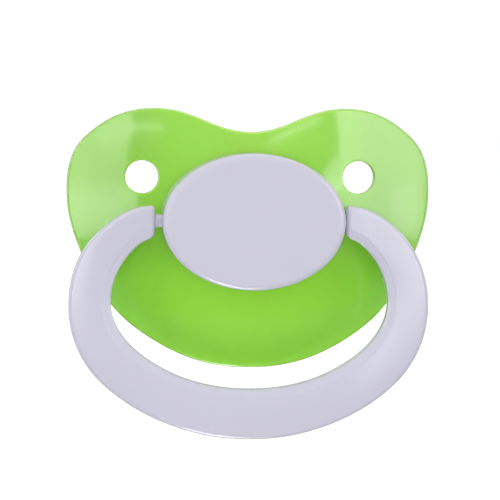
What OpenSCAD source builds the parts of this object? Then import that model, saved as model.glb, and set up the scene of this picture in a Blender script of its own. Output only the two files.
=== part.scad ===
// Pacifier with a heart-shaped shield, an oval button and a swinging ring handle.
// Millimetres. X runs across the shield, Y runs from the room into the mouth, Z is up.
// The origin is the middle of the shield's back face, on the axis of the teat.

/* [Shield] */
// Overall width of the shield
shield_w = 69; // [60:0.5:76]
// Height from the bottom of the shield to the tops of the wings
shield_h = 48.8; // [42:0.2:56]
// Thickness of the shield
shield_t = 2.4; // [1.8:0.1:3.2]
// Radius that rounds the shield's edge, front and back
shield_edge = 0.4; // [0.3:0.1:0.8]
// Radius that the shield is curved to from side to side
shield_bend = 74; // [55:1:120]
// Radius that the shield is curved to from top to bottom
shield_bow = 140; // [90:5:300]

/* [Vents] */
// Radius of each round vent
vent_r = 3.1; // [2.5:0.1:4]
// Distance of each vent from the middle, sideways
vent_x = 20.4; // [18:0.1:24]
// Height of the vents above the pivot line of the ring
vent_z = 8; // [6:0.1:10]

/* [Button] */
// Width of the oval button
button_w = 33.7; // [28:0.1:34.5]
// Height of the oval button
button_h = 25.2; // [24.4:0.1:30]
// Distance of the button's front face from the shield's back face
button_front = 12; // [11.2:0.1:14]
// Radius on the front edge of the button
button_round = 1.1; // [0.6:0.1:2.2]

/* [Ring handle] */
// Overall width of the ring
ring_w = 67.6; // [60:0.2:76]
// Reach of the ring below its pivot line
ring_drop = 40.5; // [36:0.5:48]
// Thickness of the ring, front to back
ring_t = 4.6; // [3.8:0.1:5.4]
// Radius that the ring is curved to from side to side
ring_bend = 115; // [60:1:200]
// Sideways play of the ring on its pins, taken up to one side
ring_slide = -0.4; // [-0.5:0.1:0.5]
// Distance from the shield's back face to the pivot line
pivot_y = 5.2; // [5:0.1:5.6]
// Radius of the two pins of the ring
pin_r = 1.2; // [0.9:0.05:1.3]
// Running clearance between a pin and its socket
pin_gap = 0.05; // [0.03:0.01:0.1]

/* [Teat] */
// Length of the teat behind the shield
teat_l = 34; // [28:0.5:38]
// Width of the bulb at its widest
teat_w = 24.4; // [20:0.2:27]
// Wall thickness of the teat
teat_wall = 1.5; // [1.2:0.1:2]
// Outside radius of the neck
neck_r = 7.9; // [7:0.1:8]

/* [Hidden] */
$fn = 96;
e = 0.01;

green  = [0.52, 0.80, 0.27];
white  = [0.81, 0.80, 0.87];
rubber = [0.90, 0.86, 0.74];
inner  = [0.72, 0.72, 0.76];

// ---- curves ---------------------------------------------------------------
function sag(x, r) = r - sqrt(r * r - x * x);
function cr(a, b, c, d, t) =
    0.5 * ((2 * b) + (c - a) * t + (2 * a - 5 * b + 4 * c - d) * t * t
           + (3 * b - a - 3 * c + d) * t * t * t);
function smooth_closed(p, s) = let (n = len(p))
    [for (i = [0 : n - 1], k = [0 : s - 1])
        cr(p[(i + n - 1) % n], p[i], p[(i + 1) % n], p[(i + 2) % n], k / s)];
function smooth_open(p, s) = let (n = len(p))
    concat([for (i = [0 : n - 2], k = [0 : s - 1])
        cr(p[max(i - 1, 0)], p[i], p[i + 1], p[min(i + 2, n - 1)], k / s)],
        [p[n - 1]]);
function mirrored(p) = [for (i = [len(p) - 2 : -1 : 1]) [-p[i][0], p[i][1]]];

// faces of m rings of n points each, stacked from outside to outside;
// the rings run clockwise seen from the side of the first ring
function skin(n, m) = [for (j = [0 : m - 2], i = [0 : n - 1], k = [0, 1])
    let (a = j * n + i, b = j * n + (i + 1) % n, c = b + n, d = a + n)
    k == 0 ? [a, c, b] : [a, d, c]];
function fan(n, j, pole, first) = [for (i = [0 : n - 1])
    let (a = j * n + i, b = j * n + (i + 1) % n)
    first ? [pole, a, b] : [pole, b, a]];

// ---- shield ---------------------------------------------------------------
// right half of the outline, from the dip at the top to the bottom
half = [[0, 16.4], [5, 17.2], [10, 19.2], [14, 20.5], [18, 20.9], [22, 20.5],
    [26, 19.1], [30, 16.4], [32.8, 13.4], [34.2, 9.4], [34.5, 5.3], [34.2, 1.3],
    [33, -3.2], [31, -8.2], [28.2, -13.2], [24.8, -17.7], [20.5, -21.3],
    [15.5, -24.3], [10.5, -26.4], [5, -27.6], [0, -27.9]];
sx = shield_w / 69;
sz = shield_h / 48.8;
outline = smooth_closed([for (p = concat(half, mirrored(half))) [p[0] * sx, p[1] * sz]], 3);
on = len(outline);
function side(i) = let (a = outline[(i + on - 1) % on], b = outline[(i + 1) % on],
    t = (b - a) / norm(b - a)) [-t[1], t[0]];
function inset(d) = [for (i = [0 : on - 1]) outline[i] - d * side(i)];
function plate_y(x, z) = sag(x, shield_bend) + sag(z, shield_bow);
function front_y(x, z) = plate_y(x, z) - shield_t;

module along_y(y0, y1, r) translate([0, y0, 0]) rotate([-90, 0, 0]) cylinder(h = y1 - y0, r = r);

flange_r = 10.8;
flange_y = -1.2;      // back of the flange, floor of the shield's recess
flange_t = 1;
hole_r = neck_r + 0.1;

module shield_shell() {
    steps = [0.15, 0.35, 0.55, 0.75, 0.9];
    q = inset(shield_edge);
    rings = concat(
        [for (f = steps) [for (p = q) [f * p[0], front_y(f * p[0], f * p[1]), f * p[1]]]],
        [for (a = [-90 : 30 : 0]) let (w = inset(shield_edge * (1 - cos(a))))
            [for (p = w) [p[0], front_y(p[0], p[1]) + shield_edge * (1 + sin(a)), p[1]]]],
        [for (a = [0 : 30 : 90]) let (w = inset(shield_edge * (1 - cos(a))))
            [for (p = w) [p[0], plate_y(p[0], p[1]) - shield_edge * (1 - sin(a)), p[1]]]],
        [for (k = [4 : -1 : 0]) let (f = steps[k])
            [for (p = q) [f * p[0], plate_y(f * p[0], f * p[1]), f * p[1]]]]);
    m = len(rings);
    pts = concat([for (r = rings, p = r) p], [[0, -shield_t, 0], [0, 0, 0]]);
    polyhedron(pts, concat(skin(on, m), fan(on, 0, m * on, true), fan(on, m - 1, m * on + 1, false)));
}

module shield() color(green) difference() {
    shield_shell();
    along_y(-6, 6, hole_r);
    along_y(-6, flange_y, flange_r + 0.2);
    for (s = [-1, 1]) translate([s * vent_x, 0, vent_z]) along_y(-6, 12, vent_r);
}

// ---- teat -----------------------------------------------------------------
// distance behind the shield, half width, half height, rise
form = [[3, 7.9, 7.9, 0], [6, 7.4, 7, 0.1], [10, 6.9, 5.6, 0.3], [14, 7.8, 5.2, 0.6],
    [18, 9.8, 5.8, 1], [22, 11.6, 6.8, 1.2], [26, 12.2, 7.2, 1.2], [29, 11.4, 6.8, 1],
    [31.5, 9.2, 5.5, 0.8], [33.2, 6, 3.6, 0.7], [33.9, 2.6, 1.6, 0.6]];
ty = teat_l / 34;
tw = teat_w / 24.4;
body = smooth_open([for (f = form) [f[0] * ty, f[1] * (f[0] < 9 ? neck_r / 7.9 : tw),
    f[2] * (f[0] < 9 ? neck_r / 7.9 : 1), f[3]]], 2);
tn = 48;
function loop(y, a, b, c) = [for (i = [0 : tn - 1]) let (g = 360 * i / tn)
    [a * sin(g), y, c + b * cos(g)]];

module nipple() color(rubber) {
    nb = len(body);
    rings = concat(
        [loop(flange_y - flange_t, neck_r - teat_wall, neck_r - teat_wall, 0),
         loop(flange_y - flange_t, flange_r, flange_r, 0),
         loop(flange_y, flange_r, flange_r, 0),
         loop(flange_y, neck_r, neck_r, 0)],
        [for (s = body) loop(s[0], s[1], s[2], s[3])]);
    inside = [for (k = [nb - 3 : -1 : 0]) let (s = body[k])
        loop(s[0] - (k > nb - 8 ? teat_wall * 0.7 : 0), s[1] - teat_wall, s[2] - teat_wall, s[3])];
    m = len(rings);
    mi = len(inside);
    pts = concat([for (r = rings, p = r) p], [[0, teat_l, body[nb - 1][3]]],
        [for (r = inside, p = r) p], [[0, inside[0][0][1] + 0.4, body[nb - 1][3]]]);
    o = m * tn + 1;
    polyhedron(pts, concat(
        skin(tn, m),
        fan(tn, m - 1, m * tn, false),
        [for (f = skin(tn, mi)) [f[0] + o, f[1] + o, f[2] + o]],
        [for (f = fan(tn, 0, mi * tn, true)) [f[0] + o, f[1] + o, f[2] + o]],
        [for (i = [0 : tn - 1], k = [0, 1])
            let (a = (mi - 1) * tn + i + o, b = (mi - 1) * tn + (i + 1) % tn + o,
                c = (i + 1) % tn, d = i)
            k == 0 ? [a, c, b] : [a, d, c]]));
}

// ---- inner plug that holds the teat ----------------------------------------
plug_t = 1.2;
plug_y = flange_y - flange_t - plug_t;

module nipple_plug() color(inner) difference() {
    union() {
        along_y(plug_y, flange_y - flange_t, flange_r);
        along_y(plug_y + e, 2.4 * ty, neck_r - teat_wall - 0.1);
    }
    along_y(flange_y - flange_t, 6, neck_r - teat_wall - 1.5);
}

// ---- button ---------------------------------------------------------------
bn = 96;
seam_y = button_round + 1 - button_front;       // joint between base and cap
function oval(d) = [for (i = [0 : bn - 1]) let (g = 360 * i / bn)
    [(button_w / 2 - d) * sin(g), (button_h / 2 - d) * cos(g)]];
cave = [button_w / 2 - 5, button_h / 2 - 4.2];

module oval_bar(y0, y1, a, b) translate([0, y1, 0]) rotate([90, 0, 0])
    linear_extrude(height = y1 - y0)
        polygon([for (i = [0 : bn - 1]) [a * sin(360 * i / bn), b * cos(360 * i / bn)]]);

module base_body() {
    q = oval(0);
    fs = [1, 0.85, 0.6, 0.3];
    rings = concat([[for (p = q) [p[0], seam_y, p[1]]]],
        [for (f = fs) [for (p = q) [f * p[0], front_y(f * p[0], f * p[1]) - 0.05, f * p[1]]]]);
    m = len(rings);
    pts = concat([for (r = rings, p = r) p], [[0, -shield_t - 0.05, 0]]);
    polyhedron(pts, concat(skin(bn, m), fan(bn, m - 1, m * bn, false), [[for (i = [0 : bn - 1]) i]]));
}

module button_base() color(white) difference() {
    base_body();
    along_y(plug_y, 6, flange_r + 0.2);
    oval_bar(seam_y - 1, plug_y - 1.2, cave[0] + 0.1, cave[1] + 0.1);
    for (s = [-1, 1]) translate([s * 15.2, -pivot_y, 0]) rotate([0, 90, 0])
        cylinder(h = 5.2, r = pin_r + pin_gap, center = true);
}

module button_cap() color(white) union() {
    rings = concat([for (a = [90 : -15 : 0]) [for (p = oval(button_round * (1 - cos(a))))
            [p[0], button_round - button_front - button_round * sin(a), p[1]]]],
        [[for (p = oval(0)) [p[0], seam_y, p[1]]]]);
    m = len(rings);
    polyhedron([for (r = rings, p = r) p],
        concat(skin(bn, m), [[for (i = [0 : bn - 1]) i]], [[for (i = [bn - 1 : -1 : 0]) (m - 1) * bn + i]]));
    difference() {
        oval_bar(seam_y - 0.6, seam_y + 2, cave[0], cave[1]);
        oval_bar(seam_y - 2, seam_y + 3, cave[0] - 1.2, cave[1] - 1.2);
    }
}

// ---- ring handle ----------------------------------------------------------
// right half, from the pinned end to the bottom: outer edge, inner edge
ring_out = [[17.8, 2.9], [21, 2.5], [24, 1.2], [27, -1], [29.8, -3.8], [32, -7.4], [33.4, -11.8],
    [33.8, -16.6], [33.1, -21.4], [31.2, -25.9], [28.2, -29.8], [24.2, -33.1], [19.4, -36],
    [13.5, -38.4], [7, -40], [0, -40.5]];
ring_in = [[17.8, -3], [19.9, -3.8], [21.6, -5.2], [23.2, -7.1], [24.6, -9.4], [25.6, -12.2],
    [25.9, -15.1], [25.6, -17.6], [24.6, -20.1], [22.8, -22.6], [20.2, -25], [16.9, -27.1],
    [13.2, -28.9], [9, -30.2], [4.5, -31], [0, -31.2]];
end_x = 17.8;                                   // the two end faces, just clear of the button
// the ring widens and lengthens below its ends, which stay beside the button
function sized(p) = let (f = max(0, min(1, (-3 - p[1]) / 10)))
    [p[0] * (1 + (ring_w / 67.6 - 1) * f),
     p[1] > -3 ? p[1] : -3 + (p[1] + 3) * (ring_drop - 3) / 37.5];
function whole(h) = let (q = [for (p = h) sized(p)], n = len(q))
    smooth_open(concat(q, [for (i = [n - 2 : -1 : 0]) [-q[i][0], q[i][1]]]), 3);
function band_y(x) = sag(x, ring_bend) - sag(end_x, ring_bend) - pivot_y;

// section of the band: across from the inner edge, and front to back
in_round = 1.8;
out_round = 0.8;
cn = 5;
function corner(cx, cy, r, a0) = [for (k = [0 : cn - 1])
    [cx + r * cos(a0 + 90 * k / (cn - 1)), cy + r * sin(a0 + 90 * k / (cn - 1))]];
function section(w) = let (h = ring_t / 2) concat(
    corner(w - out_round, h - out_round, out_round, 0),
    corner(in_round, h - in_round, in_round, 90),
    corner(in_round, in_round - h, in_round, 180),
    corner(w - out_round, out_round - h, out_round, 270));

module ring_band() {
    po = whole(ring_out);
    pi = whole(ring_in);
    m = len(po);
    n = 4 * cn;
    pts = [for (j = [0 : m - 1]) let (w = norm(po[j] - pi[j]))
        for (s = section(w)) let (p = pi[j] + (po[j] - pi[j]) * s[0] / w)
            [p[0], band_y(p[0]) - s[1], p[1]]];
    polyhedron(pts, concat(skin(n, m),
        [[for (i = [0 : n - 1]) i]], [[for (i = [n - 1 : -1 : 0]) (m - 1) * n + i]]));
}

module ring_handle() color(white) translate([ring_slide, 0, 0]) union() {
    ring_band();
    for (s = [-1, 1]) translate([s * 16.3, -pivot_y, 0]) rotate([0, 90, 0])
        cylinder(h = 5.6, r = pin_r, center = true);
}

shield();
nipple();
nipple_plug();
button_base();
button_cap();
ring_handle();
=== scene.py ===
import math
import bpy
import bmesh
import numpy as np
from mathutils import Matrix, Vector
from mathutils.geometry import delaunay_2d_cdt


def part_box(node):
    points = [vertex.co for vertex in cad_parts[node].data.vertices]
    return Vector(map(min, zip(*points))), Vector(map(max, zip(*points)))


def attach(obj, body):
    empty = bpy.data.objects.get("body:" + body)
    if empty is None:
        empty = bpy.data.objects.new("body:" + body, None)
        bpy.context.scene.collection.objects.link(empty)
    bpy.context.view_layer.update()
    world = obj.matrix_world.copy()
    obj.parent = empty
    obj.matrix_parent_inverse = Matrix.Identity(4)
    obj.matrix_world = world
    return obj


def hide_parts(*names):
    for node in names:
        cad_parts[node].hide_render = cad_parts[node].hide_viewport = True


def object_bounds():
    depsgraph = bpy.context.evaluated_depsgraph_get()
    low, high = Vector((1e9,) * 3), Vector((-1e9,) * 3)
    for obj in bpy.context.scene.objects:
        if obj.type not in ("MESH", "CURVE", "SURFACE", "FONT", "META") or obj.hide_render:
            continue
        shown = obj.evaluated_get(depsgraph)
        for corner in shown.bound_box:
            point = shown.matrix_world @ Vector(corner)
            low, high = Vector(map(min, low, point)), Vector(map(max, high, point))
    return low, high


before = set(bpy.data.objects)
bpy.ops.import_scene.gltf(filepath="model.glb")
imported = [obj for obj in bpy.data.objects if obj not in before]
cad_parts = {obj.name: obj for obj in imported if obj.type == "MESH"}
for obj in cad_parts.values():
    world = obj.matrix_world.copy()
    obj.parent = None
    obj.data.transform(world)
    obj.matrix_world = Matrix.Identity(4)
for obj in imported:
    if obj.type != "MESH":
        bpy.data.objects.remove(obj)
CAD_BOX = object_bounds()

MM = 0.001
scene = bpy.context.scene


# ---------------------------------------------------------------------------
# curves: the same control points as the CAD model, in millimetres
# ---------------------------------------------------------------------------
def sag(x, r):
    return r - np.sqrt(np.maximum(r * r - x * x, 0.0))


def cr(a, b, c, d, t):
    return 0.5 * (2 * b + (c - a) * t + (2 * a - 5 * b + 4 * c - d) * t * t + (3 * b - a - 3 * c + d) * t ** 3)


def smooth_closed(p, s):
    p = np.array(p, float)
    n = len(p)
    return np.array([cr(p[i - 1], p[i], p[(i + 1) % n], p[(i + 2) % n], k / s) for i in range(n) for k in range(s)])


def smooth_open(p, s):
    p = np.array(p, float)
    n = len(p)
    q = [cr(p[max(i - 1, 0)], p[i], p[i + 1], p[min(i + 2, n - 1)], k / s) for i in range(n - 1) for k in range(s)]
    return np.array(q + [p[-1]])


def resample_closed(p, n):
    q = np.vstack([p, p[:1]])
    d = np.r_[0, np.cumsum(np.linalg.norm(np.diff(q, axis=0), axis=1))]
    t = np.linspace(0, d[-1], n, endpoint=False)
    return np.c_[np.interp(t, d, q[:, 0]), np.interp(t, d, q[:, 1])]


def relax_closed(p, times):
    for _ in range(times):
        p = 0.25 * np.roll(p, 1, 0) + 0.5 * p + 0.25 * np.roll(p, -1, 0)
    return p


def relax_open(p, times):
    for _ in range(times):
        q = p.copy()
        q[1:-1] = 0.25 * p[:-2] + 0.5 * p[1:-1] + 0.25 * p[2:]
        p = q
    return p


def smoothstep(a, b, x):
    t = np.clip((x - a) / (b - a), 0, 1)
    return t * t * (3 - 2 * t)


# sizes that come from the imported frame
lo_s, hi_s = (np.array(v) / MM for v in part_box("shield"))
lo_c, hi_c = (np.array(v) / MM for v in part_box("button_cap"))
lo_r, hi_r = (np.array(v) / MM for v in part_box("ring_handle"))
lo_n, hi_n = (np.array(v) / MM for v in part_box("nipple"))

SHIELD_T = 2.4
SHIELD_EDGE = 0.45
SHIELD_BEND = 74.0
SHIELD_BOW = 140.0
VENT_R, VENT_X, VENT_Z = 3.1, 20.4, 8.0
BTN_A, BTN_B = (hi_c[0] - lo_c[0]) / 2, (hi_c[2] - lo_c[2]) / 2
BTN_Y = lo_c[1]
BTN_R = 1.1
SEAM_Y = BTN_Y + BTN_R + 1.0
PIVOT_Y = -5.2
PIN_R, SOCKET_R = 1.2, 1.25
FLANGE_R, FLANGE_Y, NECK_R, WALL = 10.8, -1.2, 7.9, 1.5
TEAT_L = hi_n[1]


def plate_y(x, z):
    return sag(x, SHIELD_BEND) + sag(z, SHIELD_BOW)


def plate_n(x, z):
    """unit normal of the plate, pointing to the front (-Y)"""
    gx = x / np.sqrt(SHIELD_BEND ** 2 - x * x)
    gz = z / np.sqrt(SHIELD_BOW ** 2 - z * z)
    n = np.stack([gx, -np.ones_like(gx), gz], -1)
    return n / np.linalg.norm(n, axis=-1, keepdims=True)


# ---------------------------------------------------------------------------
# mesh tools
# ---------------------------------------------------------------------------
class Build:
    def __init__(self):
        self.v = []
        self.n = []
        self.f = []

    def add(self, pts, normals=None):
        base = len(self.v)
        pts = [tuple(float(c) for c in p) for p in pts]
        self.v += pts
        self.n += [None] * len(pts) if normals is None else [tuple(float(c) for c in q) for q in normals]
        return list(range(base, base + len(pts)))

    def bridge(self, a, b, closed=True):
        n = len(a)
        for i in range(n if closed else n - 1):
            j = (i + 1) % n
            self.f.append((a[i], a[j], b[j], b[i]))

    def stack(self, loops, closed=True):
        for a, b in zip(loops[:-1], loops[1:]):
            self.bridge(a, b, closed)

    def fan(self, loop, point):
        c = self.add([point])[0]
        n = len(loop)
        for i in range(n):
            self.f.append((loop[i], loop[(i + 1) % n], c))

    def make(self, name, use_normals=False, sharp_deg=None):
        me = bpy.data.meshes.new(name)
        me.from_pydata([tuple(c * MM for c in p) for p in self.v], [], self.f)
        bm = bmesh.new()
        bm.from_mesh(me)
        bmesh.ops.recalc_face_normals(bm, faces=bm.faces)
        bm.to_mesh(me)
        bm.free()
        me.polygons.foreach_set("use_smooth", [True] * len(me.polygons))
        if sharp_deg is not None:
            me.set_sharp_from_angle(angle=math.radians(sharp_deg))
        if use_normals:
            auto = np.empty(len(me.vertices) * 3)
            me.vertices.foreach_get("normal", auto)
            auto = auto.reshape(-1, 3)
            out = [tuple(auto[i]) if q is None else q for i, q in enumerate(self.n)]
            me.normals_split_custom_set_from_vertices(out)
        me.update()
        ob = bpy.data.objects.new(name, me)
        scene.collection.objects.link(ob)
        return ob


def inside(poly, x, z):
    c = np.zeros(len(x), bool)
    j = len(poly) - 1
    for i in range(len(poly)):
        xi, zi = poly[i]
        xj, zj = poly[j]
        c ^= ((zi > z) != (zj > z)) & (x < (xj - xi) * (z - zi) / (zj - zi + 1e-15) + xi)
        j = i
    return c


def circle(cx, cz, r, n):
    a = np.linspace(0, 2 * math.pi, n, endpoint=False)
    return np.c_[cx + r * np.sin(a), cz + r * np.cos(a)]


def sheet(outer, holes, step, keep=0.45):
    """triangles that fill outer, less the holes, on a staggered grid; loops come first in the points"""
    loops = [outer] + holes
    pts = np.vstack(loops)
    edges = []
    base = 0
    for lp in loops:
        n = len(lp)
        edges += [(base + i, base + (i + 1) % n) for i in range(n)]
        base += n
    lo, hi = outer.min(0), outer.max(0)
    g = []
    row = 0
    z = lo[1]
    while z < hi[1]:
        x = lo[0] + (step / 2 if row % 2 else 0)
        while x < hi[0]:
            g.append((x, z))
            x += step
        z += step * 0.866
        row += 1
    g = np.array(g)
    ok = inside(outer, g[:, 0], g[:, 1])
    for h in holes:
        ok &= ~inside(h, g[:, 0], g[:, 1])
    g = g[ok]
    near = np.full(len(g), 1e9)
    for i in range(0, len(pts), 400):
        near = np.minimum(near, np.sqrt(((g[:, None] - pts[None, i:i + 400]) ** 2).sum(-1)).min(1))
    g = g[near > keep * step]
    allp = np.vstack([pts, g])
    out = delaunay_2d_cdt([Vector(p) for p in allp], edges, [], 0, 1e-7, True)
    vo, _, tris, ov = out[0], out[1], out[2], out[3]
    assert len(vo) == len(allp)
    back = [o[0] for o in ov]
    tri = np.array([[back[i] for i in t] for t in tris])
    cen = allp[tri].mean(1)
    ok = inside(outer, cen[:, 0], cen[:, 1])
    for h in holes:
        ok &= ~inside(h, cen[:, 0], cen[:, 1])
    return allp, tri[ok], [len(lp) for lp in loops]


# ---------------------------------------------------------------------------
# materials: one Principled shader each, colour, roughness and bump from noise
# ---------------------------------------------------------------------------
def material(name, colour, spread=0.03, rough=0.2, rough_spread=0.05, scale=60.0, bump=0.0, bump_scale=900.0,
             wing_shade=None, **sockets):
    m = bpy.data.materials.new(name)
    m.use_nodes = True
    nt = m.node_tree
    nt.nodes.clear()
    out = nt.nodes.new("ShaderNodeOutputMaterial")
    bs = nt.nodes.new("ShaderNodeBsdfPrincipled")
    nt.links.new(bs.outputs["BSDF"], out.inputs["Surface"])
    co = nt.nodes.new("ShaderNodeTexCoord")
    big = nt.nodes.new("ShaderNodeTexNoise")
    big.inputs["Scale"].default_value = scale
    big.inputs["Detail"].default_value = 1.5
    big.inputs["Roughness"].default_value = 0.4
    nt.links.new(co.outputs["Object"], big.inputs["Vector"])
    ramp = nt.nodes.new("ShaderNodeValToRGB")
    ramp.color_ramp.elements[0].position = 0.3
    ramp.color_ramp.elements[1].position = 0.7
    c = np.array(colour[:3])
    ramp.color_ramp.elements[0].color = (*(c * (1 - spread)), 1)
    ramp.color_ramp.elements[1].color = (*np.minimum(c * (1 + spread), 1), 1)
    nt.links.new(big.outputs["Fac"], ramp.inputs["Fac"])
    if wing_shade:
        # painted shade: out on the upper wings, where nothing pale lies behind the plate, the base colour is scaled
        # down to depth times, standing in for the lesser light that comes through the plate there
        x_in, x_out, depth = wing_shade
        sep = nt.nodes.new("ShaderNodeSeparateXYZ")
        nt.links.new(co.outputs["Object"], sep.inputs["Vector"])
        ab = nt.nodes.new("ShaderNodeMath")
        ab.operation = "ABSOLUTE"
        nt.links.new(sep.outputs["X"], ab.inputs[0])
        rg = nt.nodes.new("ShaderNodeMapRange")
        rg.interpolation_type = "SMOOTHSTEP"
        rg.inputs["From Min"].default_value = x_in
        rg.inputs["From Max"].default_value = x_out
        rg.inputs["To Min"].default_value = 0.0
        rg.inputs["To Max"].default_value = 1.0
        nt.links.new(ab.outputs["Value"], rg.inputs["Value"])
        rz = nt.nodes.new("ShaderNodeMapRange")
        rz.interpolation_type = "SMOOTHSTEP"
        rz.inputs["From Min"].default_value = -0.012
        rz.inputs["From Max"].default_value = -0.001
        nt.links.new(sep.outputs["Z"], rz.inputs["Value"])
        both = nt.nodes.new("ShaderNodeMath")
        both.operation = "MULTIPLY"
        nt.links.new(rg.outputs["Result"], both.inputs[0])
        nt.links.new(rz.outputs["Result"], both.inputs[1])
        gain = nt.nodes.new("ShaderNodeMath")
        gain.operation = "MULTIPLY_ADD"
        gain.inputs[1].default_value = depth - 1.0
        gain.inputs[2].default_value = 1.0
        nt.links.new(both.outputs["Value"], gain.inputs[0])
        mul = nt.nodes.new("ShaderNodeVectorMath")
        mul.operation = "SCALE"
        nt.links.new(ramp.outputs["Color"], mul.inputs[0])
        nt.links.new(gain.outputs["Value"], mul.inputs["Scale"])
        nt.links.new(mul.outputs["Vector"], bs.inputs["Base Color"])
    else:
        nt.links.new(ramp.outputs["Color"], bs.inputs["Base Color"])
    fine = nt.nodes.new("ShaderNodeTexNoise")
    fine.inputs["Scale"].default_value = scale * 5
    fine.inputs["Detail"].default_value = 5
    nt.links.new(co.outputs["Object"], fine.inputs["Vector"])
    mr = nt.nodes.new("ShaderNodeMapRange")
    mr.inputs["From Min"].default_value = 0.3
    mr.inputs["From Max"].default_value = 0.7
    mr.inputs["To Min"].default_value = rough - rough_spread
    mr.inputs["To Max"].default_value = rough + rough_spread
    nt.links.new(fine.outputs["Fac"], mr.inputs["Value"])
    nt.links.new(mr.outputs["Result"], bs.inputs["Roughness"])
    if bump:
        bn = nt.nodes.new("ShaderNodeTexNoise")
        bn.inputs["Scale"].default_value = bump_scale
        bn.inputs["Detail"].default_value = 3
        nt.links.new(co.outputs["Object"], bn.inputs["Vector"])
        bp = nt.nodes.new("ShaderNodeBump")
        bp.inputs["Strength"].default_value = 1.0
        bp.inputs["Distance"].default_value = bump
        nt.links.new(bn.outputs["Fac"], bp.inputs["Height"])
        nt.links.new(bp.outputs["Normal"], bs.inputs["Normal"])
    for key, val in sockets.items():
        bs.inputs[key.replace("_", " ")].default_value = val
    return m


# the green carries painted shade: its base colour is scaled to 0.80 on the upper wings, fading out towards the lower
# part
GREEN = material("green_plastic", (0.350, 0.712, 0.062), spread=0.018, wing_shade=(0.010, 0.025, 0.80), rough=0.13, rough_spread=0.02, scale=40,
                 bump=0.000003, bump_scale=200, IOR=1.5, Subsurface_Weight=0.6, Subsurface_Scale=0.005,
                 Subsurface_Radius=(0.6, 1.0, 0.3), Coat_Weight=0.5, Coat_Roughness=0.06)
WHITE = material("lavender_plastic", (0.608, 0.597, 0.70), spread=0.006, rough=0.17, rough_spread=0.02, scale=35,
                 bump=0.000002, bump_scale=260, IOR=1.5, Subsurface_Weight=0.15, Subsurface_Scale=0.003,
                 Subsurface_Radius=(1.0, 0.9, 1.0))
WHITE2 = material("lavender_plastic_button", (0.608, 0.597, 0.70), spread=0.006, rough=0.19, rough_spread=0.02, scale=35,
                  bump=0.000002, bump_scale=260, IOR=1.5, Subsurface_Weight=0.15, Subsurface_Scale=0.003,
                  Subsurface_Radius=(1.0, 0.9, 1.0))
TEAT = material("silicone", (0.86, 0.83, 0.75), spread=0.02, rough=0.25, rough_spread=0.04, scale=45,
                bump=0.000004, bump_scale=130, IOR=1.41, Transmission_Weight=0.0, Subsurface_Weight=0.9,
                Subsurface_Scale=0.005, Subsurface_Radius=(1.0, 0.9, 0.7))
PLUG = material("plug_plastic", (0.62, 0.61, 0.68), spread=0.03, rough=0.42, rough_spread=0.06, scale=80,
                bump=0.00001, bump_scale=600, IOR=1.49)


def assign(ob, mat):
    ob.data.materials.clear()
    ob.data.materials.append(mat)


# ---------------------------------------------------------------------------
# shield: curved plate with a softened rim, two vents and the teat's hole
# ---------------------------------------------------------------------------
half = [[0, 16.4], [5, 17.2], [10, 19.2], [14, 20.5], [18, 20.9], [22, 20.5], [26, 19.1], [30, 16.4], [32.8, 13.4],
        [34.2, 9.4], [34.5, 5.3], [34.2, 1.3], [33, -3.2], [31, -8.2], [28.2, -13.2], [24.8, -17.7], [20.5, -21.3],
        [15.5, -24.3], [10.5, -26.4], [5, -27.6], [0, -27.9]]
sx = (hi_s[0] - lo_s[0]) / 69.0
sz = (hi_s[2] - lo_s[2]) / 48.8
outline = smooth_closed(half + [[-a, b] for a, b in half[-2:0:-1]], 24) * [sx, sz]
outline = resample_closed(relax_closed(resample_closed(outline, 960), 60), 480)
# relaxing pulls the outline in a hair: bring it back to the box of the frame
outline[:, 0] *= (hi_s[0] - lo_s[0]) / np.ptp(outline[:, 0])
outline[:, 1] = (outline[:, 1] - outline[:, 1].min()) * (hi_s[2] - lo_s[2]) / np.ptp(outline[:, 1]) + lo_s[2]
tan = np.roll(outline, -1, 0) - np.roll(outline, 1, 0)
tan /= np.linalg.norm(tan, axis=1, keepdims=True)
side = np.c_[-tan[:, 1], tan[:, 0]]
if (side * outline).sum() < 0:
    side = -side


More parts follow.
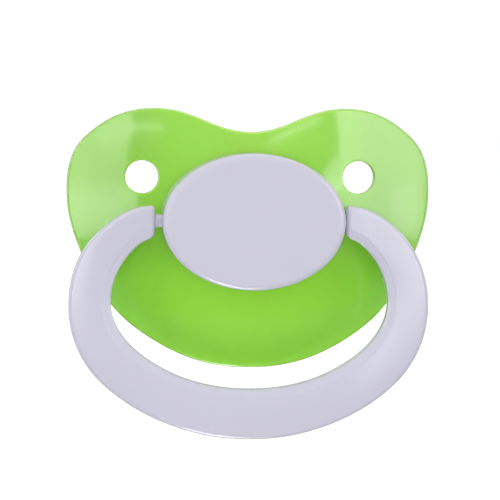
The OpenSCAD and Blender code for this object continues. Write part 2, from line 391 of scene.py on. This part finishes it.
def make_shield():
    b = Build()
    e = SHIELD_EDGE
    inner = outline - side * e
    vents = [(-VENT_X, VENT_Z), (VENT_X, VENT_Z)]
    f = 0.22
    nv = 96
    ids = {}
    # two sheets
    for key, off, rc in (("front", -SHIELD_T, FLANGE_R + 0.2), ("back", 0.0, NECK_R + 0.1 + 0.4)):
        holes = [circle(cx, cz, VENT_R + f, nv) for cx, cz in vents] + [circle(0, 0, rc, 144)]
        p, tri, sizes = sheet(inner, holes, 0.9)
        nn = plate_n(p[:, 0], p[:, 1]) * (1 if key == "front" else -1)
        idx = b.add(np.c_[p[:, 0], plate_y(p[:, 0], p[:, 1]) + off, p[:, 1]], nn)
        b.f += [tuple(idx[i] for i in t) for t in tri]
        starts = np.r_[0, np.cumsum(sizes)]
        ids[key] = [idx[starts[i]:starts[i + 1]] for i in range(len(sizes))]
    # rim: a small radius to the front and to the back, a straight side between them
    loops = [ids["front"][0]]
    quarter = np.radians(np.linspace(0, 90, 8))
    arcs = [(-1, a) for a in (quarter - math.pi / 2)[1:]] + [(0, 0.0)] + [(1, a) for a in quarter[:-1]]
    for where, a in arcs:
        p = outline - side * (e * (1 - math.cos(a)))
        back_y = plate_y(p[:, 0], p[:, 1])
        if where < 0:
            y = back_y - SHIELD_T + e * (1 + math.sin(a))
        elif where == 0:
            y = back_y - SHIELD_T / 2
        else:
            y = back_y - e * (1 - math.sin(a))
        ns = plate_n(p[:, 0], p[:, 1])
        o3 = np.c_[side[:, 0], np.zeros(len(side)), side[:, 1]]
        o3 = o3 - ns * (o3 * ns).sum(1, keepdims=True)
        o3 /= np.linalg.norm(o3, axis=1, keepdims=True)
        n = math.cos(a) * o3 - math.sin(a) * ns
        loops.append(b.add(np.c_[p[:, 0], y, p[:, 1]], n))
    loops.append(ids["back"][0])
    b.stack(loops)
    # vents: rolled edges and a straight wall
    for k, (cx, cz) in enumerate(vents):
        loops = [ids["front"][1 + k]]
        for sgn, order in ((1, range(1, 7)), (-1, range(6, 0, -1))):
            for s in order:
                a = math.radians(15 * s)
                r = VENT_R + f * (1 - math.sin(a))
                c = circle(cx, cz, r, nv)
                depth = f * (1 - math.cos(a))
                base = plate_y(c[:, 0], c[:, 1])
                y = base - SHIELD_T + depth if sgn > 0 else base - depth
                rad = np.c_[c[:, 0] - cx, np.zeros(nv), c[:, 1] - cz]
                rad /= np.linalg.norm(rad, axis=1, keepdims=True)
                ns = plate_n(c[:, 0], c[:, 1]) * sgn
                n = math.cos(a) * ns - math.sin(a) * rad
                n /= np.linalg.norm(n, axis=1, keepdims=True)
                loops.append(b.add(np.c_[c[:, 0], y, c[:, 1]], n))
        loops.append(ids["back"][1 + k])
        b.stack(loops)
    # hole for the neck, with its seat for the flange on the front
    n = 144
    R, r = FLANGE_R + 0.2, NECK_R + 0.1
    c = circle(0, 0, R, n)
    loops = [ids["front"][3], b.add(np.c_[c[:, 0], np.full(n, FLANGE_Y), c[:, 1]])]
    c = circle(0, 0, r, n)
    loops.append(b.add(np.c_[c[:, 0], np.full(n, FLANGE_Y), c[:, 1]]))
    for a in np.radians(np.linspace(0, 75, 6)):
        c = circle(0, 0, r + 0.4 * (1 - math.cos(a)), n)
        loops.append(b.add(np.c_[c[:, 0], plate_y(c[:, 0], c[:, 1]) - 0.4 * (1 - math.sin(a)), c[:, 1]]))
    loops.append(ids["back"][3])
    b.stack(loops)
    return b.make("shield_plate", use_normals=True)


shield = make_shield()
assign(shield, GREEN)
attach(shield, "body")
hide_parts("shield")


# ---------------------------------------------------------------------------
# button: cap with a rolled front edge, base with its two sockets
# ---------------------------------------------------------------------------
def oval(d, n=192, a=None, b=None):
    g = np.linspace(0, 2 * math.pi, n, endpoint=False)
    return np.c_[((BTN_A if a is None else a) - d) * np.sin(g), ((BTN_B if b is None else b) - d) * np.cos(g)]


CAVE = (BTN_A - 5.0, BTN_B - 4.2)
GROOVE = 0.16


def make_cap():
    b = Build()
    loops = []
    for k in (0.15, 0.4, 0.65, 0.85):
        q = oval(BTN_R) * k
        loops.append(b.add(np.c_[q[:, 0], np.full(len(q), BTN_Y), q[:, 1]]))
    for a in np.radians(np.linspace(90, 0, 19)):
        q = oval(BTN_R * (1 - math.cos(a)))
        loops.append(b.add(np.c_[q[:, 0], np.full(len(q), BTN_Y + BTN_R * (1 - math.sin(a))), q[:, 1]]))
    for d, y in ((0, SEAM_Y - GROOVE * 1.3), (GROOVE * 0.35, SEAM_Y - GROOVE * 0.35), (GROOVE, SEAM_Y)):
        q = oval(d)
        loops.append(b.add(np.c_[q[:, 0], np.full(len(q), y), q[:, 1]]))
    # locating skirt that sits in the base
    for a, y in ((0, SEAM_Y), (0, SEAM_Y + 2), (1.2, SEAM_Y + 2), (1.2, SEAM_Y + 0.01)):
        q = oval(a, a=CAVE[0], b=CAVE[1])
        loops.append(b.add(np.c_[q[:, 0], np.full(len(q), y), q[:, 1]]))
    b.stack(loops)
    b.fan(loops[0], (0, BTN_Y, 0))
    b.fan(loops[-1], (0, SEAM_Y + 0.01, 0))
    return b.make("button_front", sharp_deg=35)


def make_base():
    """side wall as a flat sheet in (angle, y) with the two socket mouths, rolled round the oval"""
    b = Build()
    n = 240
    g = np.linspace(0, 2 * math.pi, n, endpoint=False)
    perim = 92.0  # stretches the angle so that the sheet's triangles stay even
    k = perim / (2 * math.pi)

    def front_y(x, z):
        return plate_y(x, z) - SHIELD_T - 0.05

    def wall(u, y):
        a = u / k
        return np.c_[BTN_A * np.sin(a), y, BTN_B * np.cos(a)]

    y_front = SEAM_Y + GROOVE * 1.3
    us = np.linspace(0, perim, n + 1)
    edge = wall(us, us * 0)
    yb = front_y(edge[:, 0], edge[:, 2])
    ys = np.linspace(0, 1, 12)[1:-1]
    # rectangle boundary, left to right and back
    left = [(0.0, y_front + (yb[0] - y_front) * t) for t in ys]
    right = [(perim, y_front + (yb[-1] - y_front) * t) for t in ys]
    outer = [(u, y_front) for u in us] + right + [(u, y) for u, y in zip(us[::-1], yb[::-1])] + left[::-1]
    outer = np.array(outer)
    holes = []
    for c, s in ((perim * 0.25, 1), (perim * 0.75, -1)):
        t = np.linspace(0, 2 * math.pi, 64, endpoint=False)
        z = SOCKET_R * np.sin(t) * -s
        y = PIVOT_Y + SOCKET_R * np.cos(t)
        ang = np.arccos(np.clip(z / BTN_B, -1, 1))
        u = k * (ang if s > 0 else 2 * math.pi - ang)
        holes.append(np.c_[u, y])
    p, tri, sizes = sheet(outer, holes, 0.9)
    nn = np.c_[np.sin(p[:, 0] / k) / BTN_A, np.zeros(len(p)), np.cos(p[:, 0] / k) / BTN_B]
    nn /= np.linalg.norm(nn, axis=1, keepdims=True)
    idx = b.add(wall(p[:, 0], p[:, 1]), nn)
    # sew the seam at angle 0: the points at u = perim become those at u = 0
    swap = {}
    for i in range(len(p)):
        if abs(p[i, 0] - perim) < 1e-9:
            j = int(np.argmin(np.hypot(p[:, 0], p[:, 1] - p[i, 1])))
            swap[idx[i]] = idx[j]
    b.f += [tuple(swap.get(idx[i], idx[i]) for i in t) for t in tri]
    top = [swap.get(i, i) for i in idx[:n]]
    nr = len(right)
    bottom = [swap.get(i, i) for i in idx[n + 1 + nr:n + 1 + nr + n + 1]][::-1][:n]
    # front edge, seam land and the hollow for the cap's skirt
    loops = [top]
    for d, y in ((GROOVE * 0.35, SEAM_Y + GROOVE * 0.35), (GROOVE, SEAM_Y + 0.005)):
        q = oval(d, n)
        loops.append(b.add(np.c_[q[:, 0], np.full(n, y), q[:, 1]]))
    for d, y in ((-0.1, SEAM_Y + 0.005), (-0.1, -4.6)):
        q = oval(d, n, a=CAVE[0], b=CAVE[1])
        loops.append(b.add(np.c_[q[:, 0], np.full(n, y), q[:, 1]]))
    b.stack(loops)
    b.fan(loops[-1], (0, -4.6, 0))
    # back, following the shield, with the pocket for the plug
    loops = [bottom]
    for t in (0.25, 0.5, 0.75, 1.0):
        q = oval(0, n) * (1 - t) + circle(0, 0, FLANGE_R + 0.2, n) * t
        loops.append(b.add(np.c_[q[:, 0], front_y(q[:, 0], q[:, 1]), q[:, 1]]))
    c = circle(0, 0, FLANGE_R + 0.2, n)
    loops.append(b.add(np.c_[c[:, 0], np.full(n, -3.4), c[:, 1]]))
    b.stack(loops)
    b.fan(loops[-1], (0, -3.4, 0))
    # sockets
    base = len(outer)
    for h, s in ((0, 1), (1, -1)):
        mouth = [idx[base + 64 * h + i] for i in range(64)]
        q = [b.v[i] for i in mouth]
        loops = [mouth]
        for x in (12.6,):
            loops.append(b.add([(s * x, y, z) for _, y, z in q]))
        b.stack(loops)
        b.fan(loops[-1], (s * 12.6, PIVOT_Y, 0))
    return b


cap = make_cap()
assign(cap, WHITE2)
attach(cap, "body")
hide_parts("button_cap")

base = make_base().make("button_body", sharp_deg=35)
bm = bmesh.new()
bm.from_mesh(base.data)
bmesh.ops.delete(bm, geom=[v for v in bm.verts if not v.link_faces], context="VERTS")
bm.to_mesh(base.data)
bm.free()
assign(base, WHITE2)
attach(base, "body")
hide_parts("button_base")


# ---------------------------------------------------------------------------
# ring handle
# ---------------------------------------------------------------------------
ring_out = [[17.8, 2.9], [21, 2.5], [24, 1.2], [27, -1], [29.8, -3.8], [32, -7.4], [33.4, -11.8], [33.8, -16.6],
            [33.1, -21.4], [31.2, -25.9], [28.2, -29.8], [24.2, -33.1], [19.4, -36], [13.5, -38.4], [7, -40],
            [0, -40.5]]
ring_in = [[17.8, -3], [19.9, -3.8], [21.6, -5.2], [23.2, -7.1], [24.6, -9.4], [25.6, -12.2], [25.9, -15.1],
           [25.6, -17.6], [24.6, -20.1], [22.8, -22.6], [20.2, -25], [16.9, -27.1], [13.2, -28.9], [9, -30.2],
           [4.5, -31], [0, -31.2]]
RING_T = 4.6
RING_BEND = 115.0
CROWN = 0.2
END_X = 17.8
SLIDE = (lo_r[0] + hi_r[0]) / 2


def band_y(x):
    return sag(x, RING_BEND) - sag(END_X, RING_BEND) + PIVOT_Y


def band_section(w, t, grow=0.0, n=9, crown=CROWN, step=1.0):
    """closed loop across from the inner edge (0) to the outer edge (w), and front (+) to back (-);
    the front is a little crowned, and ends in a fine step and a slope at the inner edge; grow takes the radii down"""
    h = t / 2
    ro, rb = max(0.8 - grow, 0.25), max(1.5 - grow, 0.3)

    def corner(cx, cy, r, a0, a1):
        a = np.radians(np.linspace(a0, a1, n))
        return np.c_[cx + r * np.cos(a), cy + r * np.sin(a)]

    def line(p, q, m):
        s = np.linspace(0, 1, m + 2)[1:-1, None]
        return p + (q - p) * s

    slope, rc, rl = 9.0, 0.45, 0.6
    steep = slope + 25.0 * step
    # a fine step where the front ends: it turns down by the steep angle, then back up to the slope's
    top = np.array([1.85, h])
    t1, t2 = math.radians(steep), math.radians(slope)
    crease = corner(top[0], top[1] - rc, rc, 90, 90 + steep)
    rh = 0.25
    hub = crease[-1] + rh * np.array([-math.sin(t1), math.cos(t1)])
    back_up = np.linspace(t1, t2, n)
    heel = hub - rh * np.c_[-np.sin(back_up), np.cos(back_up)]
    # lip: turns from the slope to the inner wall at 0, its start on the slope's line
    e = heel[-1]
    lip_y = e[1] + math.tan(t2) * ((rl - rl * math.sin(t2)) - e[0]) - rl * math.cos(t2)
    lip = corner(rl, lip_y, rl, 90 + slope, 180)
    c1 = corner(w - ro, h - ro, ro, 0, 90)
    c3 = corner(rb, rb - h, rb, 180, 270)
    c4 = corner(w - ro, ro - h, ro, 270, 360)
    q = np.vstack([c1, line(c1[-1], crease[0], 12), crease, heel[1:], line(heel[-1], lip[0], 2), lip, line(lip[-1], c3[0], 2),
                   c3, line(c3[-1], c4[0], 6), c4, line(c4[-1], c1[0], 2)])
    # crown: full thickness in the middle of the band, a hair less towards both edges
    front = q[:, 1] > 0
    mid = (1.6 + w) / 2
    q[front, 1] -= crown * np.minimum(((q[front, 0] - mid) / (w / 2)) ** 2, 1) * np.minimum(q[front, 1] / h, 1)
    return q


def make_ring():
    b = Build()
    full = lambda h: relax_open(smooth_open(h + [[-x, z] for x, z in h[-2::-1]], 12), 30)
    po, pi = full(ring_out), full(ring_in)
    m = len(po)
    loops = []

    def section_at(pa, pb, shrink, push):
        """pa inner edge, pb outer edge; shrink rounds the end face; push moves it along x"""
        w = np.linalg.norm(pb - pa)
        # the step is crisp down both sides, and melts away at the ends and along the bottom
        step = 0.08 + 0.92 * float(smoothstep(12, 20, abs(pa[0])) * smoothstep(4, 8, -pa[1]))
        s = band_section(w - 2 * shrink, RING_T - 2 * shrink, shrink,
                         crown=CROWN * float(smoothstep(3, 12, -0.5 * (pa[1] + pb[1]))), step=step)
        p = pa + (pb - pa) / w * (s[:, :1] + shrink)
        return b.add(np.c_[p[:, 0] + push + SLIDE, band_y(p[:, 0]) - s[:, 1], p[:, 1]])

    r = 0.8
    for a in np.radians(np.linspace(90, 15, 6)):
        j = 0
        loops.append(section_at(pi[j], po[j], r * (1 - math.cos(a)), r * (1 - math.sin(a))))
    # the first sections slide to make room for the rounded end
    for j in range(m):
        x = abs(0.5 * (po[j][0] + pi[j][0]))
        if x < END_X + r and (j < 12 or j > m - 13):
            continue
        loops.append(section_at(pi[j], po[j], 0, 0))
    for a in np.radians(np.linspace(15, 90, 6)):
        j = m - 1
        loops.append(section_at(pi[j], po[j], r * (1 - math.cos(a)), -r * (1 - math.sin(a))))
    b.stack(loops)
    for lp in (loops[0], loops[-1]):
        q = np.array([b.v[i] for i in lp])
        b.fan(lp, q.mean(0))
    # pins, with a small fillet where they leave the end faces
    for s in (1, -1):
        n = 48
        prof = [(13.5, 0.9), (13.55, 1.05), (13.7, 1.17), (13.85, PIN_R)]
        prof += [(END_X - 0.35, PIN_R)]
        prof += [(END_X - 0.35 + 0.35 * math.sin(a), PIN_R + 0.35 * (1 - math.cos(a))) for a in
                 np.radians(np.linspace(15, 90, 6))]
        prof += [(END_X + 1.0, PIN_R + 0.35)]
        g = np.linspace(0, 2 * math.pi, n, endpoint=False)
        loops = [b.add(np.c_[np.full(n, s * x + SLIDE), PIVOT_Y + q * np.sin(g), q * np.cos(g)]) for x, q in prof]
        b.stack(loops)
        b.fan(loops[0], (s * 13.5 + SLIDE, PIVOT_Y, 0))
        b.fan(loops[-1], (s * (END_X + 1.0) + SLIDE, PIVOT_Y, 0))
    return b.make("ring_band", sharp_deg=60)


ring = make_ring()
assign(ring, WHITE)
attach(ring, "ring")
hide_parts("ring_handle")


# ---------------------------------------------------------------------------
# teat and its inner plug
# ---------------------------------------------------------------------------
form = [[3, 7.9, 7.9, 0], [6, 7.4, 7, 0.1], [10, 6.9, 5.6, 0.3], [14, 7.8, 5.2, 0.6], [18, 9.8, 5.8, 1],
        [22, 11.6, 6.8, 1.2], [26, 12.2, 7.2, 1.2], [29, 11.4, 6.8, 1], [31.5, 9.2, 5.5, 0.8], [33.2, 6, 3.6, 0.7],
        [33.9, 2.6, 1.6, 0.6]]


def make_teat():
    b = Build()
    n = 128
    g = np.linspace(0, 2 * math.pi, n, endpoint=False)
    body = smooth_open(form, 6)

    def loop(y, a, c, rise):
        return b.add(np.c_[a * np.sin(g), np.full(n, y), rise + c * np.cos(g)])

    loops = [loop(FLANGE_Y - 1, NECK_R - WALL, NECK_R - WALL, 0), loop(FLANGE_Y - 1, FLANGE_R - 0.2, FLANGE_R - 0.2, 0),
             loop(FLANGE_Y - 0.8, FLANGE_R, FLANGE_R, 0), loop(FLANGE_Y - 0.2, FLANGE_R, FLANGE_R, 0),
             loop(FLANGE_Y, FLANGE_R - 0.2, FLANGE_R - 0.2, 0), loop(FLANGE_Y, NECK_R, NECK_R, 0),
             loop(1.0, NECK_R, NECK_R, 0)]
    for s in body:
        loops.append(loop(s[0], s[1], s[2], s[3]))
    b.stack(loops)
    b.fan(loops[-1], (0, TEAT_L, body[-1][3]))
    first = loops[0]
    loops = []
    for k in range(len(body) - 4, -1, -1):
        s = body[k]
        back = WALL * 0.7 * smoothstep(22, 30, s[0])
        loops.append(loop(s[0] - back, max(s[1] - WALL, 0.4), max(s[2] - WALL, 0.3), s[3]))
    b.stack(loops)
    b.fan(loops[0], (0, b.v[loops[0][0]][1] + 0.25, body[-1][3]))
    b.bridge(loops[-1], first)
    return b.make("teat_body", sharp_deg=50)


teat = make_teat()
assign(teat, TEAT)
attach(teat, "body")
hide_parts("nipple")


def make_plug():
    b = Build()
    n = 96
    g = np.linspace(0, 2 * math.pi, n, endpoint=False)
    r1, r2 = NECK_R - WALL - 0.1, NECK_R - WALL - 1.5
    prof = [(-3.4, FLANGE_R - 0.15), (-3.25, FLANGE_R), (-2.35, FLANGE_R), (-2.2, FLANGE_R - 0.15), (-2.2, r1 + 0.2),
            (-2.0, r1), (2.2, r1), (2.4, r1 - 0.2), (2.4, r2 + 0.2), (2.2, r2), (-2.2, r2)]
    loops = [b.add(np.c_[q * np.sin(g), np.full(n, y), q * np.cos(g)]) for y, q in prof]
    b.stack(loops)
    b.fan(loops[0], (0, -3.4, 0))
    b.fan(loops[-1], (0, -2.2, 0))
    return b.make("teat_plug", sharp_deg=35)


plug = make_plug()
assign(plug, PLUG)
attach(plug, "body")
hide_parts("nipple_plug")


# ---------------------------------------------------------------------------
# stage, light and camera
# ---------------------------------------------------------------------------
FLOOR_Z = CAD_BOX[0][2] - 0.006


def stage_material():
    m = bpy.data.materials.new("pale_floor")
    m.use_nodes = True
    nt = m.node_tree
    bs = nt.nodes["Principled BSDF"]
    bs.inputs["Base Color"].default_value = (0.30, 0.30, 0.30, 1)
    bs.inputs["Roughness"].default_value = 0.8
    bs.inputs["Specular IOR Level"].default_value = 0.0
    bs.inputs["Emission Color"].default_value = (1, 1, 1, 1)
    bs.inputs["Emission Strength"].default_value = 0.93
    return m


me = bpy.data.meshes.new("floor")
me.from_pydata([(-6, -6, FLOOR_Z), (6, -6, FLOOR_Z), (6, 6, FLOOR_Z), (-6, 6, FLOOR_Z)], [], [(0, 1, 2, 3)])
floor = bpy.data.objects.new("floor", me)
scene.collection.objects.link(floor)
floor.data.materials.append(stage_material())
floor.visible_diffuse = False
floor.visible_glossy = False
floor.visible_shadow = False

# studio: white behind the object, a soft fill that fades from the front to the back, and an almost dark room in
# the reflections, so that only the white cards show in the gloss
world = bpy.data.worlds.new("studio")
scene.world = world
world.use_nodes = True
wn = world.node_tree
wn.nodes.clear()
w_out = wn.nodes.new("ShaderNodeOutputWorld")
w_co = wn.nodes.new("ShaderNodeTexCoord")
w_sep = wn.nodes.new("ShaderNodeSeparateXYZ")
wn.links.new(w_co.outputs["Generated"], w_sep.inputs["Vector"])
w_lp = wn.nodes.new("ShaderNodeLightPath")


def w_range(axis, a, b, lo, hi):
    n = wn.nodes.new("ShaderNodeMapRange")
    n.interpolation_type = "SMOOTHSTEP"
    n.inputs["From Min"].default_value = a
    n.inputs["From Max"].default_value = b
    n.inputs["To Min"].default_value = lo
    n.inputs["To Max"].default_value = hi
    wn.links.new(w_sep.outputs[axis], n.inputs["Value"])
    return n.outputs["Result"]


def w_math(op, a, b):
    n = wn.nodes.new("ShaderNodeMath")
    n.operation = op
    for k, v in enumerate((a, b)):
        if isinstance(v, (int, float)):
            n.inputs[k].default_value = v
        else:
            wn.links.new(v, n.inputs[k])
    return n.outputs["Value"]


FILL_BACK, FILL_FRONT, FILL_LOW, FILL_HIGH = 0.13, 0.37, 0.6, 1.3
fill = w_math("MULTIPLY", w_range("Y", -1, 1, FILL_FRONT, FILL_BACK), w_range("Z", -1, 1, FILL_LOW, FILL_HIGH))
room = w_math("ADD", w_range("Z", -0.25, 0.45, 0.08, 1.0), w_range("Z", 0.5, 0.95, 0.0, 1.2))
clear = w_math("MAXIMUM", w_lp.outputs["Is Camera Ray"], w_lp.outputs["Is Transmission Ray"])


def w_pick(fac, a, b):
    """a where fac is 0, b where it is 1"""
    n = wn.nodes.new("ShaderNodeMix")
    n.data_type = "FLOAT"
    wn.links.new(fac, n.inputs[0])
    for k, v in ((2, a), (3, b)):
        if isinstance(v, (int, float)):
            n.inputs[k].default_value = v
        else:
            wn.links.new(v, n.inputs[k])
    return n.outputs[0]


bg = wn.nodes.new("ShaderNodeBackground")
bg.inputs["Color"].default_value = (1.0, 1.0, 1.0, 1)
wn.links.new(w_pick(clear, w_pick(w_lp.outputs["Is Glossy Ray"], fill, room), 1.1), bg.inputs["Strength"])
wn.links.new(bg.outputs["Background"], w_out.inputs["Surface"])


def softbox(name, azim, elev, width, height, radiance, dist=1.6, glossy=False, diffuse=True):
    """azim 0 is in front of the button, positive to its right; elev above the horizon; all angles in degrees"""
    a, e = math.radians(azim), math.radians(elev)
    pos = Vector((math.sin(a) * math.cos(e), -math.cos(a) * math.cos(e), math.sin(e))) * dist
    ld = bpy.data.lights.new(name, "AREA")
    ld.shape = "RECTANGLE"
    ld.size = width
    ld.size_y = height
    ld.energy = radiance * math.pi * width * height
    ob = bpy.data.objects.new(name, ld)
    ob.location = pos
    ob.rotation_euler = (-pos).to_track_quat("-Z", "Y").to_euler()
    ob.visible_camera = False
    ob.visible_glossy = glossy
    ob.visible_diffuse = diffuse
    scene.collection.objects.link(ob)
    return ob


def card(name, az0, az1, el0, el1, radiance, dist=1.6):
    """white card seen only in the gloss, from az0 to az1 and from el0 to el1"""
    az, el = (az0 + az1) / 2, (el0 + el1) / 2
    w = 2 * dist * math.tan(math.radians((az1 - az0) / 2)) * math.cos(math.radians(el))
    h = 2 * dist * math.tan(math.radians((el1 - el0) / 2))
    return softbox(name, az, el, w, h, radiance, dist, glossy=True, diffuse=False)


def tilt(ob, degrees):
    """turn a card about its own axis, so that its reflection climbs to the right"""
    ob.rotation_euler = (ob.rotation_euler.to_matrix() @ Matrix.Rotation(math.radians(degrees), 3, "Z")).to_euler()


# soft light on the colours, from all round as in a light tent, so that no piece throws a hard shadow
softbox("front_light", 0, 10, 1.5, 1.3, 1.26)
softbox("left_light", -68, 2, 0.6, 0.8, 5.0)
softbox("right_light", 68, 2, 0.6, 0.8, 3.8)
softbox("top_light", 0, 65, 1.0, 1.0, 2.4)
softbox("low_light", 0, -60, 1.0, 1.0, 3.3)
softbox("back_light", 180, 35, 2.0, 2.0, 0.75)
softbox("back_low_light", 180, -35, 1.5, 1.0, 6.0)

# cards in the gloss
card("left_card", -62, -32.4, -5.5, 3, 3.4)
card("left_card_mid", -62, -36, 3, 9.5, 2.4)
card("left_card_high", -62, -34.2, 9.5, 34, 2.5)
tilt(card("left_card_arc", -46, -34, 10.0, 13.0, 1.1), 14)
card("left_card_low", -60, -38, -5.5, 1.5, 0.5)
card("left_card_rim", -62, -48, -5.5, 14, 0.3)
tilt(card("left_streak", -36, -24.5, 12.7, 14.0, 3.2), 3)
card("right_card", 32.3, 64, -5.5, 34, 3.6)
card("right_card_low", 25.5, 32.3, -5.5, 4.0, 3.4)
tilt(card("right_card_low_edge", 27.8, 33.6, 2.0, 7.5, 3.0), 28)
card("right_card_spot", 50, 60, -4.5, 2.5, 1.0)
tilt(card("right_streak", 9.6, 27.0, 13.1, 14.1, 4.4), 12)
card("low_card", -45, 45, -27, -20, 0.3)
card("left_rim_card", -150, -100, -25, 35, 1.5)
card("right_rim_card", 100, 150, -25, 35, 0.9)
softbox("low_strip", -35, -76, 0.55, 1.1, 13.0, glossy=True, diffuse=False)

# camera: long lens, half a metre away, a little to the left and a little above
DIST = 0.5
MM_PX = 0.186
AZ, EL, ROLL = math.radians(-4.0), math.radians(2.5), math.radians(0.3)
TARGET = Vector((0, -0.005, 0))
TARGET_PX = (252.4, 220.9)
back = Vector((math.sin(AZ) * math.cos(EL), -math.cos(AZ) * math.cos(EL), math.sin(EL)))
cam_data = bpy.data.cameras.new("camera")
cam_data.sensor_width = 36
cam_data.lens = 36 * (DIST * 1000 / MM_PX) / 500
cam_data.clip_start = 0.01
cam = bpy.data.objects.new("camera", cam_data)
cam.location = TARGET + back * DIST
fwd = -back
right = fwd.cross(Vector((0, 0, 1))).normalized()
up = right.cross(fwd)
r2 = right * math.cos(ROLL) + up * math.sin(ROLL)
u2 = -right * math.sin(ROLL) + up * math.cos(ROLL)
# aim so that the target falls on its own pixel, without any lens shift
f_px = DIST * 1000 / MM_PX
aim = (fwd * f_px - r2 * (TARGET_PX[0] - 250) + u2 * (TARGET_PX[1] - 250)).normalized()
r3 = (r2 - aim * r2.dot(aim)).normalized()
u3 = r3.cross(aim).normalized()
cam.rotation_euler = Matrix((r3, u3, -aim)).transposed().to_euler()
scene.collection.objects.link(cam)
scene.camera = cam
scene.view_settings.view_transform = "Standard"
